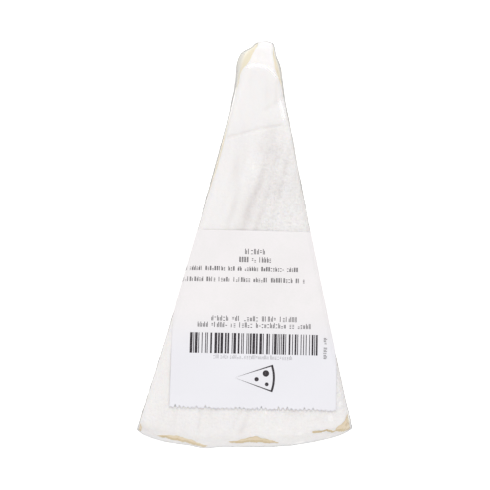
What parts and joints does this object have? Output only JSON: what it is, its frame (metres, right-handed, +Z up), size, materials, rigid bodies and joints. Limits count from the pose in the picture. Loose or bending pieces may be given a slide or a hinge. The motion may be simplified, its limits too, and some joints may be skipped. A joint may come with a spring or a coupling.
{
  "type": "brie wedge",
  "caption": "Wedge of soft cheese with a white bloomy rind and pale paste, cut from a wheel, drawn tight in clear film, with a paper scale label folded over its cut sides.",
  "frame": {"origin": "under the middle of the wedge's box, on the surface that the lower rind rests on", "axes": "+Z up through the thickness, +Y along the wedge's middle line from the rim to the tip, +X to the right seen from above with the tip away"},
  "size_m": [0.0796, 0.1516, 0.0344],
  "materials": {
    "rind": "matte",
    "label_paper": "matte",
    "label_ink": "matte",
    "film": "gloss"
  },
  "bodies": {
    "root": {"wrapped_wedge": "rind", "label": "label_paper"}
  },
  "joints": []
}
